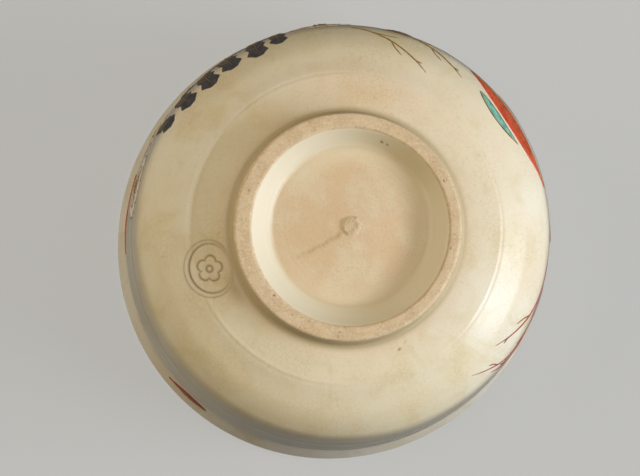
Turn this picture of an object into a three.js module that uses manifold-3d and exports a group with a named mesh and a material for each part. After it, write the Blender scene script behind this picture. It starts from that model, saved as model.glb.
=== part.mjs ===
import * as THREE from 'three';
import { mergeVertices } from 'three/addons/utils/BufferGeometryUtils.js';
import Module from 'manifold-3d';

// A hand-thrown tea bowl with a turned foot, an everted lip, a cream glaze and raised enamels.
// The bowl stands upright on its foot, +Z up. The origin is the centre of the foot's land, and
// azimuths run from +X towards +Y. All lengths are in millimetres.

// Overall form, on the outside of the glaze
const rimHeight = 76;
const lipRadius = 60.5;
const waistRadius = 56.8;
const waistHeight = 61;
const bellyRadius = 57;
const bellyHeight = 50;
const sideRadius = 53.2;
const sideHeight = 22.8;
const hipRadius = 46.9;
const hipHeight = 14.1;
const trimRadius = 39;
const trimHeight = 9.8;

// Clay and glaze
const wallAtHip = 5.2;
const wallAtLip = 3.4;
const floorThickness = 5.2;
const glazeCoat = 0.5;
const wellCoat = 0.35;

// Turned foot ring
const footOuterRadius = 28.4;
const footInnerRadius = 24.2;
const footHeight = 7;
const footFlare = 0.5;
const landBevel = 0.5;
const glazeLine = 0.9;
const wellFloorRadius = 18.6;

// Little turned boss in the middle of the well
const bossRadius = 2.3;
const bossHeight = 1.6;
const bossClearance = 0.3;

// Tea pool: the shallow dip in the middle of the inside floor
const poolRadius = 17;
const poolDepth = 1;

// The wall is slightly oval and the lip's edge rises and falls a little
const handOval = 0.7;
const ovalAzimuth = 130;
const lipWave = 0.25;
const waveCount = 3;

// Oval groove that a stamp left on the hip
const sealAzimuth = 163.4;
const sealAlong = 6.6;
const sealSize = { width: 14.4, length: 12.6 };
const sealGroove = 0.9;
const sealDepth = 0.32;
const sealToolHeight = 3;

// Raised enamels: how thick they lie, the fine gap under them, and how far their backs bow into it
const enamelRise = 0.3;
const enamelGap = 0.28;
const backBow = 0.05;

// Flowers: how deep the scallops are, where the flat top begins, and their golden eyes
const scallopShare = 0.86;
const flatShare = 0.55;
const eyeShare = 0.24;
const eyeRise = 0.25;
const eyeGap = 0.12;

// Steps round the bowl, round the boss, round an eye, over half the lip and down the inside wall
const roundSteps = 54;
const bossSteps = 24;
const eyeSteps = 10;
const crownSteps = 3;
const insideSteps = 8;
const degree = Math.PI / 180;

const colours = {
  clay: 0xcdb48c, bareClay: 0xd0b58d, glaze: 0xe6d9b8, wellGlaze: 0xdcc4a0,
  white: 0xf3efe4, black: 0x2b2a2c, orange: 0xc8431d, red: 0x8e2a1c, turquoise: 0x5fa79b, gold: 0xb08a3e,
};

const manifoldLibrary = await Module();
manifoldLibrary.setup();

const v2 = (r, z) => new THREE.Vector2(r, z);

function material(colour, roughness, metalness = 0) {
  return new THREE.MeshStandardMaterial({ color: colour, roughness, metalness });
}

// Outside of the wall: a shallow trimmed zone beside the foot, a cone up to the hip, the tight hip,
// a steep side, the belly, a slight waist and the everted lip
const wallCurve = new THREE.SplineCurve([
  v2(footOuterRadius + 1.2, footHeight + 0.35),
  v2(footOuterRadius + 5.8, footHeight + 1.4),
  v2(trimRadius - 0.7, trimHeight - 0.3),
  v2(trimRadius + 0.8, trimHeight + 0.4),
  v2((trimRadius + hipRadius) / 2, (trimHeight + hipHeight) / 2),
  v2(hipRadius, hipHeight),
  v2(hipRadius + 3.7, hipHeight + 3.5),
  v2(sideRadius, sideHeight),
  v2(sideRadius + 2, sideHeight + 13.2),
  v2(bellyRadius, bellyHeight),
  v2(waistRadius, waistHeight),
  v2(waistRadius + 0.9, waistHeight + 5.3),
  v2(lipRadius - 1.2, rimHeight - 5),
  v2(lipRadius, rimHeight - wallAtLip / 2),
]);
const wallLength = wallCurve.getLength();

function wallThickness(t) {
  return THREE.MathUtils.lerp(wallAtHip, wallAtLip, t);
}

// A point of the wall curve at parameter t, moved along its outward normal
function offWall(t, lift) {
  const along = wallCurve.getTangent(t);
  return wallCurve.getPoint(t).add(v2(along.y, -along.x).multiplyScalar(lift));
}

function footSide() {
  return [
    v2(footOuterRadius, glazeLine),
    v2(footOuterRadius + footFlare, footHeight - 1.2),
    v2(footOuterRadius + footFlare + 0.25, footHeight - 0.2),
  ];
}

// Round top of the lip, from its outer edge to its inner edge
function lipArc(steps) {
  const round = wallAtLip / 2;
  const arc = new THREE.EllipseCurve(lipRadius - round, rimHeight - round, round, round, 0, Math.PI);
  return arc.getPoints(steps).slice(1);
}

function insideWall(steps) {
  const points = [];
  for (let i = steps - 1; i >= 2; i -= 1) {
    const t = i / steps;
    points.push(offWall(t, -wallThickness(t)));
  }
  return points;
}

function insideFloor(floorHeight) {
  return [
    v2(poolRadius + 9, floorHeight + poolDepth + 0.9),
    v2(poolRadius, floorHeight + poolDepth),
    v2(poolRadius - 3, floorHeight + poolDepth * 0.3),
    v2(0, floorHeight),
  ];
}

// The glaze's whole face in section: up the outside, over the lip and down to the floor's centre
const outsidePoints = [...footSide(), ...wallCurve.points];
const floorHeight = footHeight + floorThickness;
const glazeFace = [
  ...outsidePoints,
  ...lipArc(2 * crownSteps),
  ...insideWall(insideSteps),
  ...insideFloor(floorHeight),
];
const crown = outsidePoints.length - 1 + crownSteps;

// A line moved sideways by the same distance all along, to the left of its direction
function sideways(line, distance) {
  return line.map((point, i) => {
    const before = line[Math.max(i - 1, 0)];
    const after = line[Math.min(i + 1, line.length - 1)];
    const along = after.clone().sub(before).normalize();
    return point.clone().add(v2(-along.y, along.x).multiplyScalar(distance));
  });
}

const clayFace = sideways(glazeFace, glazeCoat);
clayFace[0].set(footOuterRadius - glazeCoat, glazeLine);
clayFace[clayFace.length - 1].set(0, floorHeight - glazeCoat);

// The foot ring and the bowl meet on this plane, which is also the clay floor of the well
const seatIndex = 2;
const seatHeight = clayFace[seatIndex].y;

// Slope and floor of the well on the clay, from the land inwards
const wellClay = [
  v2(footInnerRadius - 0.3, landBevel),
  v2(wellFloorRadius + 1.9, seatHeight - 1.6),
  v2(wellFloorRadius + 1, seatHeight - 0.5),
  v2(wellFloorRadius, seatHeight),
];

// The oval grows from nothing at the hip to its full size at the belly, and the wave from there to the lip
function formByHand(solid) {
  const place = solid.getAttribute('position');
  for (let i = 0; i < place.count; i += 1) {
    const azimuth = Math.atan2(place.getY(i), place.getX(i));
    const radius = Math.hypot(place.getX(i), place.getY(i));
    const oval = handOval * THREE.MathUtils.smoothstep(place.getZ(i), hipHeight, bellyHeight);
    const wave = lipWave * THREE.MathUtils.smoothstep(place.getZ(i), bellyHeight, rimHeight);
    const grown = radius + oval * Math.cos(2 * (azimuth - ovalAzimuth * degree)) * (radius / lipRadius);
    const raised = place.getZ(i) + wave * Math.sin(waveCount * azimuth);
    place.setXYZ(i, grown * Math.cos(azimuth), grown * Math.sin(azimuth), raised);
  }
  solid.computeVertexNormals();
  return solid;
}

// Splits each four-sided face from its lower inner corner, whichever way the section runs,
// so that clay and glaze that share a face also share its triangles
function splitAlike(solid, line, steps) {
  const faces = [];
  for (let i = 0; i < steps; i += 1) {
    for (let j = 0; j < line.length - 1; j += 1) {
      const a = j + i * line.length;
      const [b, c, d] = [a + line.length, a + line.length + 1, a + 1];
      const rises = line[j + 1].y - line[j].y || line[j].x - line[j + 1].x;
      if (rises > 0) faces.push(a, b, d, c, d, b);
      else faces.push(a, b, c, a, c, d);
    }
  }
  solid.setIndex(faces);
}

// Turns a section round the bowl's axis
function turned(section, steps = roundSteps) {
  const line = section.map((point) => point.clone());
  if (THREE.ShapeUtils.isClockWise(line)) line.reverse();
  const onAxis = line[0].x === 0 && line[line.length - 1].x === 0;
  if (!onAxis) line.push(line[0].clone());
  const solid = new THREE.LatheGeometry(line, steps);
  splitAlike(solid, line, steps);
  solid.rotateX(Math.PI / 2);
  return formByHand(solid);
}

function clayBowl() {
  const outside = clayFace.slice(seatIndex);
  return turned([...outside, v2(0, seatHeight)]);
}

function footRing() {
  const outside = clayFace.slice(0, seatIndex + 1);
  const land = [
    v2(footInnerRadius, landBevel / 3),
    v2(footInnerRadius + 0.4, 0),
    v2(footOuterRadius - glazeCoat - landBevel, 0),
    v2(footOuterRadius - glazeCoat, landBevel),
  ];
  return turned([...land, ...outside, ...wellClay.toReversed()]);
}

function footBoss() {
  const bossFoot = seatHeight - bossHeight;
  return turned([
    v2(0, bossFoot),
    v2(bossRadius * 0.55, bossFoot + 0.1),
    v2(bossRadius * 0.85, bossFoot + 0.7),
    v2(bossRadius, seatHeight),
    v2(0, seatHeight),
  ], bossSteps);
}

function innerGlaze() {
  return turned([...glazeFace.slice(crown), ...clayFace.slice(crown).toReversed()]);
}

// Thin glaze on the well's slope and floor, open in the middle round the boss
function wellGlaze() {
  const opening = bossRadius + bossClearance;
  const clay = [...wellClay, v2(opening, seatHeight)];
  const face = sideways(clay, wellCoat);
  face[face.length - 1].set(opening, seatHeight - wellCoat);
  return turned([...clay, ...face.toReversed()]);
}

// A point of the glazed outside: azimuth in radians, distance along the wall and lift off it
function onWall(azimuth, along, lift) {
  const t = THREE.MathUtils.clamp(along / wallLength, 0, 1);
  const tangent = wallCurve.getTangentAt(t);
  const section = wallCurve.getPointAt(t).add(v2(tangent.y, -tangent.x).multiplyScalar(lift));
  return new THREE.Vector3(section.x * Math.cos(azimuth), section.x * Math.sin(azimuth), section.y);
}

// Lays a flat drawing point (x round the bowl, y up the wall) on the wall beside its anchor
function laidOnWall(anchor, x, y, lift) {
  const along = anchor.along + y;
  const radius = wallCurve.getPointAt(THREE.MathUtils.clamp(along / wallLength, 0, 1)).x;
  return onWall(anchor.azimuth * degree + x / radius, along, lift);
}

function toManifold(geometry) {
  const bare = geometry.clone();
  bare.deleteAttribute('normal');
  bare.deleteAttribute('uv');
  const merged = mergeVertices(bare, 1e-4);
  return new manifoldLibrary.Manifold(new manifoldLibrary.Mesh({
    numProp: 3,
    vertProperties: new Float32Array(merged.getAttribute('position').array),
    triVerts: new Uint32Array(merged.getIndex().array),
  }));
}

function fromManifold(solid) {
  const mesh = solid.getMesh();
  const geometry = new THREE.BufferGeometry();
  geometry.setAttribute('position', new THREE.BufferAttribute(mesh.vertProperties, 3));
  geometry.setIndex(new THREE.BufferAttribute(mesh.triVerts, 1));
  geometry.computeVertexNormals();
  return geometry;
}

// Oval ring that stands through the glaze at the seal's place, with its floor at the groove's depth
function sealTool() {
  const halfWidth = sealSize.width / 2;
  const halfLength = sealSize.length / 2;
  const outline = new THREE.Shape().absellipse(0, 0, halfWidth, halfLength, 0, 2 * Math.PI);
  const island = new THREE.Path();
  island.absellipse(0, 0, halfWidth - sealGroove, halfLength - sealGroove, 0, 2 * Math.PI);
  outline.holes.push(island);
  const flat = new THREE.ExtrudeGeometry(outline, {
    depth: sealToolHeight, bevelEnabled: false, curveSegments: 18,
  });
  const place = flat.getAttribute('position');
  for (let i = 0; i < place.count; i += 1) {
    const lift = place.getZ(i) - sealDepth;
    const spot = laidOnWall({ azimuth: sealAzimuth, along: sealAlong }, place.getX(i), place.getY(i), lift);
    place.setXYZ(i, spot.x, spot.y, spot.z);
  }
  return flat;
}

function outerGlaze() {
  const coat = turned([...glazeFace.slice(0, crown + 1), ...clayFace.slice(0, crown + 1).toReversed()]);
  return fromManifold(toManifold(coat).subtract(toManifold(sealTool())));
}

function solidFrom(points, faces) {
  const geometry = new THREE.BufferGeometry().setFromPoints(points);
  geometry.setIndex(faces.flat());
  return formByHand(geometry);
}

// A leaf of enamel, bent over the wall: pointed at both ends, thickest along its middle
function enamelLeaf({ azimuth, along, lean, length, width, bend = 0, fullest = 0.4 }) {
  const rows = Math.max(4, Math.round(length / 4));
  const lie = lean * degree;
  const points = [];
  const spot = (down, side, lift) => {
    const x = down * Math.sin(lie) + side * Math.cos(lie);
    const y = down * Math.cos(lie) - side * Math.sin(lie);
    points.push(laidOnWall({ azimuth, along }, x, y, lift));
  };
  for (let i = 1; i < rows; i += 1) {
    const t = i / rows;
    const swell = Math.sin(Math.PI * t ** (Math.log(0.5) / Math.log(fullest)));
    const half = (width / 2) * swell;
    const middle = bend * 4 * t * (1 - t);
    spot(t * length, middle - half, enamelGap);
    spot(t * length, middle, enamelGap + enamelRise);
    spot(t * length, middle + half, enamelGap);
    spot(t * length, middle, enamelGap - backBow);
  }
  const root = points.length;
  spot(0, 0, enamelGap);
  spot(length, 0, enamelGap);
  const faces = [];
  for (let side = 0; side < 4; side += 1) {
    const next = (side + 1) % 4;
    faces.push([root, next, side]);
    for (let row = 0; row < rows - 2; row += 1) {
      const a = 4 * row;
      faces.push([a + side, a + next, a + 4 + side], [a + next, a + 4 + next, a + 4 + side]);
    }
    const last = 4 * (rows - 2);
    faces.push([last + side, last + next, root + 1]);
  }
  return solidFrom(points, faces);
}

// A round flower of enamel with a scalloped edge
function enamelFlower({ azimuth, along, radius, petals }) {
  const steps = 2 * petals;
  const points = [];
  for (let i = 0; i < steps; i += 1) {
    const turn = (i / steps) * 2 * Math.PI;
    const reach = radius * (i % 2 === 0 ? 1 : scallopShare);
    const spot = (share, lift) => {
      const x = reach * share * Math.cos(turn);
      const y = reach * share * Math.sin(turn);
      points.push(laidOnWall({ azimuth, along }, x, y, lift));
    };
    spot(1, enamelGap);
    spot(flatShare, enamelGap + enamelRise);
    spot(flatShare, enamelGap - backBow);
  }
  const topCentre = points.push(laidOnWall({ azimuth, along }, 0, 0, enamelGap + enamelRise)) - 1;
  const backCentre = points.push(laidOnWall({ azimuth, along }, 0, 0, enamelGap - backBow)) - 1;
  const faces = [];
  for (let i = 0; i < steps; i += 1) {
    const a = 3 * i;
    const b = 3 * ((i + 1) % steps);
    faces.push([a, b, a + 1], [a + 1, b, b + 1], [a + 1, b + 1, topCentre]);
    faces.push([b, a, b + 2], [b + 2, a, a + 2], [b + 2, a + 2, backCentre]);
  }
  return solidFrom(points, faces);
}

// The golden eye on a flower, a low dome
function flowerEye({ azimuth, along, radius }) {
  const seat = enamelGap + enamelRise + eyeGap;
  const points = [];
  for (let i = 0; i < eyeSteps; i += 1) {
    const turn = (i / eyeSteps) * 2 * Math.PI;
    points.push(laidOnWall({ azimuth, along }, radius * Math.cos(turn), radius * Math.sin(turn), seat));
  }
  const top = points.push(laidOnWall({ azimuth, along }, 0, 0, seat + eyeRise)) - 1;
  const back = points.push(laidOnWall({ azimuth, along }, 0, 0, seat - backBow / 2)) - 1;
  const faces = [];
  for (let i = 0; i < eyeSteps; i += 1) {
    const next = (i + 1) % eyeSteps;
    faces.push([i, next, top], [next, i, back]);
  }
  return solidFrom(points, faces);
}

// Chrysanthemum heads: where each sits on the wall, and how large it is
const flowers = [
  { azimuth: 193, along: 42, radius: 9, petals: 14 },
  { azimuth: 209, along: 60, radius: 7.5, petals: 13 },
  { azimuth: 264, along: 37, radius: 8.5, petals: 14 },
  { azimuth: 278, along: 60, radius: 7.5, petals: 13 },
];

// Dark leaves: a cluster between two flowers, and a few beside the others
const darkLeaves = [
  { azimuth: 212, along: 27.5, lean: -8, length: 17, width: 5.6 },
  { azimuth: 220, along: 25.5, lean: -4, length: 17, width: 5.8 },
  { azimuth: 228, along: 24.5, lean: 0, length: 18, width: 5.8 },
  { azimuth: 236, along: 25, lean: -3, length: 17, width: 5.8 },
  { azimuth: 244, along: 24, lean: 3, length: 17, width: 5.6 },
  { azimuth: 251, along: 26, lean: 2, length: 14, width: 4.6 },
  { azimuth: 224, along: 47, lean: -3, length: 15, width: 5.4 },
  { azimuth: 232, along: 45.5, lean: 1, length: 17, width: 5.6 },
  { azimuth: 240, along: 45, lean: 5, length: 16, width: 5.4 },
  { azimuth: 248, along: 46, lean: 10, length: 14, width: 4.8 },
  { azimuth: 284, along: 32, lean: 18, length: 15, width: 4.8 },
];

// Long bending grass blades in orange, dark red and turquoise
const longBlades = [
  { colour: 'orange', azimuth: 308, along: 28.5, lean: 90, length: 37, width: 6, bend: 3.2 },
  { colour: 'orange', azimuth: 2, along: 44, lean: -48, length: 28, width: 4.4, bend: 4 },
  { colour: 'orange', azimuth: 176, along: 74, lean: 85, length: 23, width: 4.4, bend: 1 },
  { colour: 'red', azimuth: 127, along: 76, lean: 86, length: 14, width: 3.2, bend: 0.5 },
  { colour: 'red', azimuth: 318, along: 40, lean: 30, length: 24, width: 4.2, bend: 2 },
  { colour: 'turquoise', azimuth: 314, along: 22.6, lean: 92, length: 17, width: 2.2, bend: 1.6 },
  { colour: 'turquoise', azimuth: 298, along: 46, lean: 50, length: 22, width: 3.6, bend: -2 },
  { colour: 'turquoise', azimuth: 350, along: 66, lean: 70, length: 18, width: 3.4, bend: 1 },
];

const teaBowl = new THREE.Group();

function add(name, geometry, finish) {
  const mesh = new THREE.Mesh(geometry, finish);
  mesh.name = name;
  teaBowl.add(mesh);
}

add('clay_bowl', clayBowl(), material(colours.clay, 0.85));
add('foot_ring', footRing(), material(colours.bareClay, 0.9));
add('foot_boss', footBoss(), material(colours.bareClay, 0.9));
add('outer_glaze', outerGlaze(), material(colours.glaze, 0.18));
add('inner_glaze', innerGlaze(), material(colours.glaze, 0.18));
add('well_glaze', wellGlaze(), material(colours.wellGlaze, 0.35));

flowers.forEach((flower, i) => {
  const eye = { ...flower, radius: flower.radius * eyeShare };
  add(`white_flower_${i + 1}`, enamelFlower(flower), material(colours.white, 0.3));
  add(`flower_eye_${i + 1}`, flowerEye(eye), material(colours.gold, 0.35, 1));
});
darkLeaves.forEach((leaf, i) => {
  add(`dark_leaf_${i + 1}`, enamelLeaf(leaf), material(colours.black, 0.35));
});
longBlades.forEach((blade, i) => {
  add(`${blade.colour}_blade_${i + 1}`, enamelLeaf(blade), material(colours[blade.colour], 0.3));
});

export default teaBowl;
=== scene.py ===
import math

import bmesh
import bpy
import numpy as np
from mathutils import Matrix, Vector


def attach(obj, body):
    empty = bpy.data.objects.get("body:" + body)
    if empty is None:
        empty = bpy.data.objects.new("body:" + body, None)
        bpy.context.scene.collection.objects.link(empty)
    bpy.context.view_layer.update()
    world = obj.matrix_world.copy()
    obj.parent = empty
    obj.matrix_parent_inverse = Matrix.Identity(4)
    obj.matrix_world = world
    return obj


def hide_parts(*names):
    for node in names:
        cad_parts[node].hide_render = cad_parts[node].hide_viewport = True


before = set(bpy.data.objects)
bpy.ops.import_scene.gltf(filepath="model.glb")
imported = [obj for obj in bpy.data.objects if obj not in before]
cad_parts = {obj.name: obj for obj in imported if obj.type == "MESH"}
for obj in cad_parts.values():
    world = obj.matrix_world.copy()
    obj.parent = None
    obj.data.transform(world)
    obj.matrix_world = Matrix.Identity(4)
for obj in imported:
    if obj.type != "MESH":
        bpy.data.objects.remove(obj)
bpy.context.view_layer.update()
print("frame loaded:", len(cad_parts), "nodes")

mm = 0.001
degree = math.pi / 180
fullTurn = 2 * math.pi


# The bowl's form in millimetres, measured on the outside of the glaze
bowl = {
    "rimHeight": 76, "lipRadius": 60.46, "waistRadius": 56.8, "waistHeight": 61,
    "bellyRadius": 57, "bellyHeight": 50, "sideRadius": 53.2, "sideHeight": 22.8,
    "hipRadius": 46.9, "hipHeight": 14.1, "trimRadius": 39, "trimHeight": 9.8,
    "wallAtHip": 5.2, "wallAtLip": 3.4, "floorThickness": 5.2, "poolRadius": 17, "poolDepth": 1,
    "footRadius": 28.4, "footInner": 24.2, "footHeight": 7, "footFlare": 0.5,
    "landBevel": 0.5, "glazeLine": 0.9, "wellFloor": 19.9, "wellDepth": 6.68,
    "handOval": 0.7, "ovalAzimuth": 130, "lipWave": 0.25, "waveCount": 3,
}


def spline(points, steps=24):  # a smooth line through given points
    knots = np.array(points, float)
    t = np.linspace(0, 1, steps, endpoint=False)[:, None]
    parts = []
    for i in range(len(knots) - 1):
        before, start, end = knots[max(i - 1, 0)], knots[i], knots[i + 1]
        after = knots[min(i + 2, len(knots) - 1)]
        leave, arrive = (end - before) / 2, (after - start) / 2
        cubic = (2 * start - 2 * end + leave + arrive) * t ** 3
        parts.append(cubic + (3 * end - 3 * start - 2 * leave - arrive) * t ** 2 + leave * t + start)
    return np.vstack(parts + [knots[-1:]])


def measured(line, zero=0.0):  # a section line that can be read at any distance along it
    reach = np.concatenate([[0], np.cumsum(np.hypot(*np.diff(line, axis=0).T))]) - zero
    keep = np.concatenate([[True], np.diff(reach) > 1e-6])
    reach, line = reach[keep], line[keep]
    run = np.gradient(line, reach, axis=0)
    run /= np.linalg.norm(run, axis=1)[:, None]
    return {"reach": reach, "line": line, "run": run, "start": reach[0], "end": reach[-1]}


def readSection(section, along):  # radius, height and outward normal at distances along the section
    radius, height, runOut, runUp = (
        np.interp(along, section["reach"], section[key][:, i]) for key in ("line", "run") for i in (0, 1))
    size = np.hypot(runOut, runUp)
    return radius, height, runUp / size, -runOut / size


def smoothstep(value, low, high):
    t = np.clip((value - low) / (high - low), 0, 1)
    return t * t * (3 - 2 * t)


def formByHand(radius, azimuth, height):  # the wall's slight oval and the lip's gentle wave
    oval = bowl["handOval"] * smoothstep(height, bowl["hipHeight"], bowl["bellyHeight"])
    wave = bowl["lipWave"] * smoothstep(height, bowl["bellyHeight"], bowl["rimHeight"])
    turned = np.cos(2 * (azimuth - bowl["ovalAzimuth"] * degree))
    grown = radius + oval * turned * (radius / bowl["lipRadius"])
    raised = height + wave * np.sin(bowl["waveCount"] * azimuth)
    return np.stack([grown * np.cos(azimuth), grown * np.sin(azimuth), raised], axis=-1)


def onSection(section, azimuth, along, lift):
    radius, height, outward, upward = readSection(section, along)
    return formByHand(np.maximum(radius + outward * lift, 0), azimuth, height + upward * lift)


def bowlSection():
    b = bowl
    wall = spline([
        (b["footRadius"] + 1.2, b["footHeight"] + 0.35), (b["footRadius"] + 5.8, b["footHeight"] + 1.4),
        (b["trimRadius"] - 0.7, b["trimHeight"] - 0.3), (b["trimRadius"] + 0.8, b["trimHeight"] + 0.4),
        ((b["trimRadius"] + b["hipRadius"]) / 2, (b["trimHeight"] + b["hipHeight"]) / 2),
        (b["hipRadius"], b["hipHeight"]), (b["hipRadius"] + 3.7, b["hipHeight"] + 3.5),
        (b["sideRadius"], b["sideHeight"]), (b["sideRadius"] + 2, b["sideHeight"] + 13.2),
        (b["bellyRadius"], b["bellyHeight"]), (b["waistRadius"], b["waistHeight"]),
        (b["waistRadius"] + 0.9, b["waistHeight"] + 5.3), (b["lipRadius"] - 1.2, b["rimHeight"] - 5),
        (b["lipRadius"], b["rimHeight"] - b["wallAtLip"] / 2),
    ])
    footSide = spline([
        (b["footRadius"] - 0.1, b["glazeLine"]), (b["footRadius"] + 0.02, b["glazeLine"] + 0.4),
        (b["footRadius"] + b["footFlare"] * 0.8, b["footHeight"] - 2.4),
        (b["footRadius"] + b["footFlare"] + 0.02, b["footHeight"] - 0.9),
        (b["footRadius"] + b["footFlare"] + 0.22, b["footHeight"] - 0.1), tuple(wall[0]),
    ])
    lipRound = b["wallAtLip"] / 2
    turn = np.linspace(0, math.pi, 40)[1:]
    lip = np.stack([b["lipRadius"] - lipRound + lipRound * np.cos(turn),
                    b["rimHeight"] - lipRound + lipRound * np.sin(turn)], axis=1)
    run = np.gradient(wall, axis=0)
    run /= np.linalg.norm(run, axis=1)[:, None]
    share = np.linspace(0, 1, len(wall))[:, None]
    thickness = b["wallAtHip"] + (b["wallAtLip"] - b["wallAtHip"]) * share
    inside = wall - np.stack([run[:, 1], -run[:, 0]], axis=1) * thickness
    picked = [tuple(inside[round(i / 8 * (len(wall) - 1))]) for i in range(7, 1, -1)]
    floor = b["footHeight"] + b["floorThickness"]
    knots = np.array([tuple(lip[-1])] + picked + [
        (b["poolRadius"] + 9, floor + b["poolDepth"] + 0.9), (b["poolRadius"], floor + b["poolDepth"]),
        (b["poolRadius"] - 3, floor + b["poolDepth"] * 0.3), (0, floor),
    ])
    middles = (knots[:-1] + knots[1:]) / 2  # keep the glaze above the clay's straight facets
    inner = spline(np.vstack([np.stack([knots[:-1], middles], axis=1).reshape(-1, 2), knots[-1:]]), 12)
    whole = measured(np.vstack([footSide[:-1], wall, lip, inner[1:]]), zero=measured(footSide)["end"])
    whole["crown"] = measured(np.vstack([wall, lip[:20]]))["end"]
    return whole


section = bowlSection()


# Smooth unevenness that closes round the bowl
def wander(azimuth, along, seed, waves, around, pitch):
    dice = np.random.default_rng(seed)
    total = np.zeros(np.broadcast(azimuth, along).shape)
    for _ in range(waves):
        count, slant, start = dice.integers(0, around + 1), dice.uniform(-pitch, pitch), dice.random()
        total += np.cos(count * azimuth + fullTurn * (slant * along + start)) / math.sqrt(waves)
    return total


# Four-sided faces over a grid, closed round its columns or open
def gridFaces(columns, rows, closed=True):
    j, i = np.meshgrid(np.arange(columns if closed else columns - 1), np.arange(rows - 1), indexing="ij")
    after = (j + 1) % columns
    corners = [j * rows + i, after * rows + i, after * rows + i + 1, j * rows + i + 1]
    return np.stack(corners, axis=-1).reshape(-1, 4)


def makePiece(name, points, faces, material, replaced, marks, sharp):
    mesh = bpy.data.meshes.new(name)
    mesh.from_pydata((np.asarray(points).reshape(-1, 3) * mm).tolist(), [], np.asarray(faces).tolist())
    for label, values in marks.items():
        layer = mesh.attributes.new(label, "FLOAT", "POINT")
        layer.data.foreach_set("value", np.asarray(values, np.float32).ravel())
    work = bmesh.new()
    work.from_mesh(mesh)
    bmesh.ops.remove_doubles(work, verts=work.verts, dist=2e-7)
    bmesh.ops.dissolve_degenerate(work, edges=work.edges, dist=1e-8)
    bmesh.ops.recalc_face_normals(work, faces=work.faces)
    work.to_mesh(mesh)
    work.free()
    mesh.shade_smooth()
    mesh.set_sharp_from_angle(angle=sharp * degree)
    mesh.materials.append(material)
    piece = bpy.data.objects.new(name, mesh)
    bpy.context.scene.collection.objects.link(piece)
    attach(piece, "root")
    if replaced:
        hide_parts(*replaced)
    return piece


# Positions from start to end, closer together in the fine stretches
def spaced(start, end, step, fine, fineStep):
    marks = [start]
    while marks[-1] < end:
        inFine = any(low - step <= marks[-1] <= high for low, high in fine)
        marks.append(marks[-1] + (fineStep if inFine else step))
    marks[-1] = end
    return np.array(marks)


# Shader maths: a wire holds one output socket, and arithmetic on it adds Math nodes
class Wire:
    tree = None

    def __init__(self, socket):
        self.socket = socket

    @classmethod
    def node(cls, kind, settings=None, inputs=None, output=0):
        made = cls.tree.nodes.new(kind)
        for name, value in (settings or {}).items():
            setattr(made, name, value)
        for name, value in (inputs or {}).items():
            if isinstance(value, Wire):
                cls.tree.links.new(value.socket, made.inputs[name])
            else:
                made.inputs[name].default_value = value
        return cls(made.outputs[output]) if len(made.outputs) else made

    @classmethod
    def math(cls, operation, first, second):
        return cls.node("ShaderNodeMath", {"operation": operation}, {0: first, 1: second})

    def __add__(self, other):
        return self.math("ADD", self, other)

    def __sub__(self, other):
        return self.math("SUBTRACT", self, other)

    def __rsub__(self, other):
        return self.math("SUBTRACT", other, self)

    def __mul__(self, other):
        return self.math("MULTIPLY", self, other)

    __radd__ = __add__
    __rmul__ = __mul__


def paint(red, green, blue):  # a screen colour, 0 to 255, as the shader's linear colour
    values = [v / 255 for v in (red, green, blue)]
    return tuple(v / 12.92 if v <= 0.04045 else ((v + 0.055) / 1.055) ** 2.4 for v in values) + (1.0,)


def newMaterial(name):
    material = bpy.data.materials.new(name)
    material.use_nodes = True
    material.node_tree.nodes.clear()
    Wire.tree = material.node_tree
    return material


def setSurface(surface):
    Wire.node("ShaderNodeOutputMaterial", None, {"Surface": surface})


def setFinish(colour, roughness, normal, **uniform):  # uniform values go straight onto the sockets
    inputs = {"Base Color": colour, "Roughness": roughness, "Normal": normal}
    inputs.update({name.replace("_", " "): value for name, value in uniform.items()})
    setSurface(Wire.node("ShaderNodeBsdfPrincipled", None, inputs))


def here():
    return Wire.node("ShaderNodeTexCoord", None, None, "Object")


def noise(vector, size, detail=3.0, roughness=0.5, distortion=0.0):  # size in millimetres
    return Wire.node("ShaderNodeTexNoise", None, {
        "Vector": vector, "Scale": 1 / (size * mm), "Detail": detail, "Roughness": roughness,
        "Distortion": distortion})


def soft(value, low, high):  # rises smoothly from 0 at low to 1 at high
    return Wire.node("ShaderNodeMapRange", {"interpolation_type": "SMOOTHSTEP"}, {
        "Value": value, "From Min": low, "From Max": high})


def mixed(factor, first, second):
    return Wire.node("ShaderNodeMix", {"data_type": "RGBA"}, {0: factor, 6: first, 7: second}, 2)


def mark(name):  # a value painted on the mesh
    return Wire.node("ShaderNodeAttribute", {"attribute_name": name}, None, "Fac")


def bump(height, strength, distance):  # distance in millimetres
    return Wire.node("ShaderNodeBump", None, {
        "Height": height, "Strength": strength, "Distance": distance * mm})


def crackle(vector, size, width):  # 1 on the thin lines of a crackled glaze, 0 beside them
    sway = Wire.node("ShaderNodeTexNoise", None, {"Vector": vector, "Scale": 0.5 / (size * mm)}, "Color")
    shift = (0.6 * size * mm,) * 3
    bent = Wire.node("ShaderNodeVectorMath", {"operation": "MULTIPLY_ADD"}, {0: sway, 1: shift, 2: vector})
    edge = Wire.node("ShaderNodeTexVoronoi", {"feature": "DISTANCE_TO_EDGE"}, {
        "Vector": bent, "Scale": 1 / (size * mm)})
    return 1 - soft(edge, 0.0, width)


# Cream crackled glaze: warm where thin, pinkish by the foot, brown where it pools; darkened as painted shade
# on the foot's side and in some olive patches on the wall
glaze = {
    "cream": paint(240, 229, 207), "warm": paint(235, 218, 188), "olive": paint(216, 196, 146),
    "blush": paint(227, 196, 160), "speck": paint(206, 168, 128), "pooled": paint(120, 82, 32),
    "line": paint(176, 148, 100), "footSide": paint(190, 168, 126), "roughness": 0.1, "coatRoughness": 0.05,
    "cloudSize": 24, "tintSize": 9, "freckleSize": 0.8, "speckSize": 0.55, "blushSpeckSize": 0.45,
    "crackleSize": 1.5, "crackleWidth": 0.06, "crackleShow": 0.22, "crackledAreas": 12,
    "skinSize": 1.1, "skinHeight": 0.008, "coatWeight": 0.12,
}


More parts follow.
